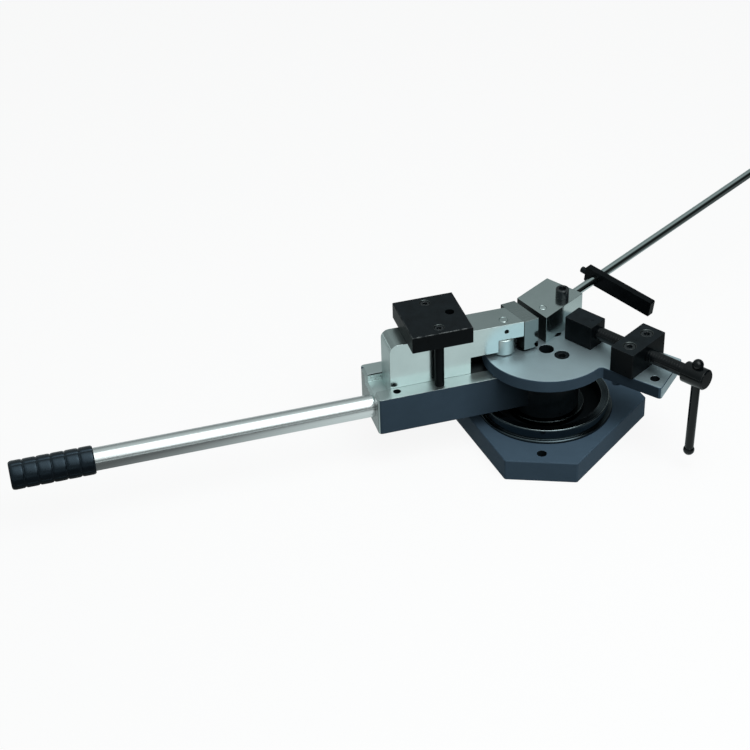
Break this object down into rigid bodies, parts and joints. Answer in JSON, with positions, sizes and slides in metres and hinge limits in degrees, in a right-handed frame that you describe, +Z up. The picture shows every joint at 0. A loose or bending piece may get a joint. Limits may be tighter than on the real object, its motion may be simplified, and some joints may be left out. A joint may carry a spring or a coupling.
{
  "type": "universal bender",
  "caption": "Bench bender with a swinging lever arm, adjustable slide with roller and bending jaw, fixed die, screw clamp and length stop on a bolt-down base.",
  "frame": {"origin": "on the arm's pivot axis at the underside of the base plate, the centre of the bolt circle", "axes": "+Z up along the pivot axis, +X along the clamp spindle away from the die, +Y towards the length stop"},
  "size_m": [0.618, 1.1927, 0.1997],
  "materials": {
    "slate_paint": "satin paint",
    "ground_steel": "ground",
    "black_steel": "black oxide",
    "chrome_tube": "bright chrome",
    "rubber_grip": "matt",
    "bronze": "turned"
  },
  "bodies": {
    "stand": {"base_plate": "slate_paint", "guard_ring": "black_steel", "lower_thrust_ring": "ground_steel", "column": "ground_steel", "column_key": "black_steel", "retaining_washer": "black_steel", "column_screw": "black_steel", "upper_thrust_washer": "bronze", "table_plate": "ground_steel", "table_screws": "black_steel", "die_block": "ground_steel", "die_screw": "black_steel", "die_dowel": "ground_steel", "rod_grub_screw": "black_steel", "nut_block": "black_steel", "nut_block_screws": "black_steel"},
    "arm": {"swing_arm": "slate_paint", "arm_bushes": "bronze", "handle_tube": "chrome_tube", "handle_set_screw": "black_steel", "handle_grip": "rubber_grip", "bridge_plate": "black_steel", "bridge_posts": "black_steel", "bridge_screws": "black_steel"},
    "slide": {"slide_block": "ground_steel", "bending_jaw": "ground_steel", "bending_jaw_screws": "black_steel", "roller_pin": "ground_steel", "roller_grub_screw": "black_steel"},
    "roller": {"bending_roller": "ground_steel"},
    "jaw": {"moving_jaw": "black_steel", "jaw_pin": "black_steel"},
    "spindle": {"clamp_spindle": "black_steel"},
    "tommy": {"tommy_bar": "black_steel", "tommy_balls": "black_steel"},
    "stop_rod": {"stop_rod": "ground_steel"},
    "stop_bar": {"stop_bar": "black_steel"},
    "stop_screw": {"stop_screw": "black_steel"}
  },
  "joints": [
    {"name": "arm_swing", "type": "hinge", "parent": "stand", "child": "arm", "pos_m": [0, 0, 0.067], "axis": [0, 0, 1], "range_deg": [0, 108]},
    {"name": "slide_feed", "type": "slide", "parent": "arm", "child": "slide", "axis": [-0.5232, -0.8522, 0], "range_m": [-0.008, 0.04]},
    {"name": "roller_spin", "type": "hinge", "parent": "slide", "child": "roller", "pos_m": [-0.03668, -0.04636, 0.1401], "axis": [0, 0, 1], "continuous": true},
    {"name": "jaw_feed", "type": "slide", "parent": "stand", "child": "jaw", "axis": [1, 0, 0], "range_m": [-0.0121, 0.0441]},
    {"name": "spindle_turn", "type": "hinge", "parent": "jaw", "child": "spindle", "pos_m": [0.1, 0.042, 0.1484], "axis": [1, 0, 0], "range_deg": [-1080, 3960]},
    {"name": "tommy_slide", "type": "slide", "parent": "spindle", "child": "tommy", "axis": [0, 0.0332, 0.9995], "range_m": [0, 0.0982]},
    {"name": "stop_rod_turn", "type": "hinge", "parent": "stand", "child": "stop_rod", "pos_m": [-0.03325, 0.1, 0.1449], "axis": [0, 1, 0], "range_deg": [-170, 60]},
    {"name": "stop_bar_slide", "type": "slide", "parent": "stop_rod", "child": "stop_bar", "axis": [0, 1, 0], "range_m": [-0.06, 0.4]},
    {"name": "stop_screw_turn", "type": "hinge", "parent": "stop_bar", "child": "stop_screw", "pos_m": [-0.05504, 0.156, 0.14792], "axis": [-0.9905, 0, 0.1374], "range_deg": [0, 720]}
  ],
  "couplings": [
    {"joint": "jaw_feed", "follows": "spindle_turn", "m_per_rad": 0.00063662}
  ]
}
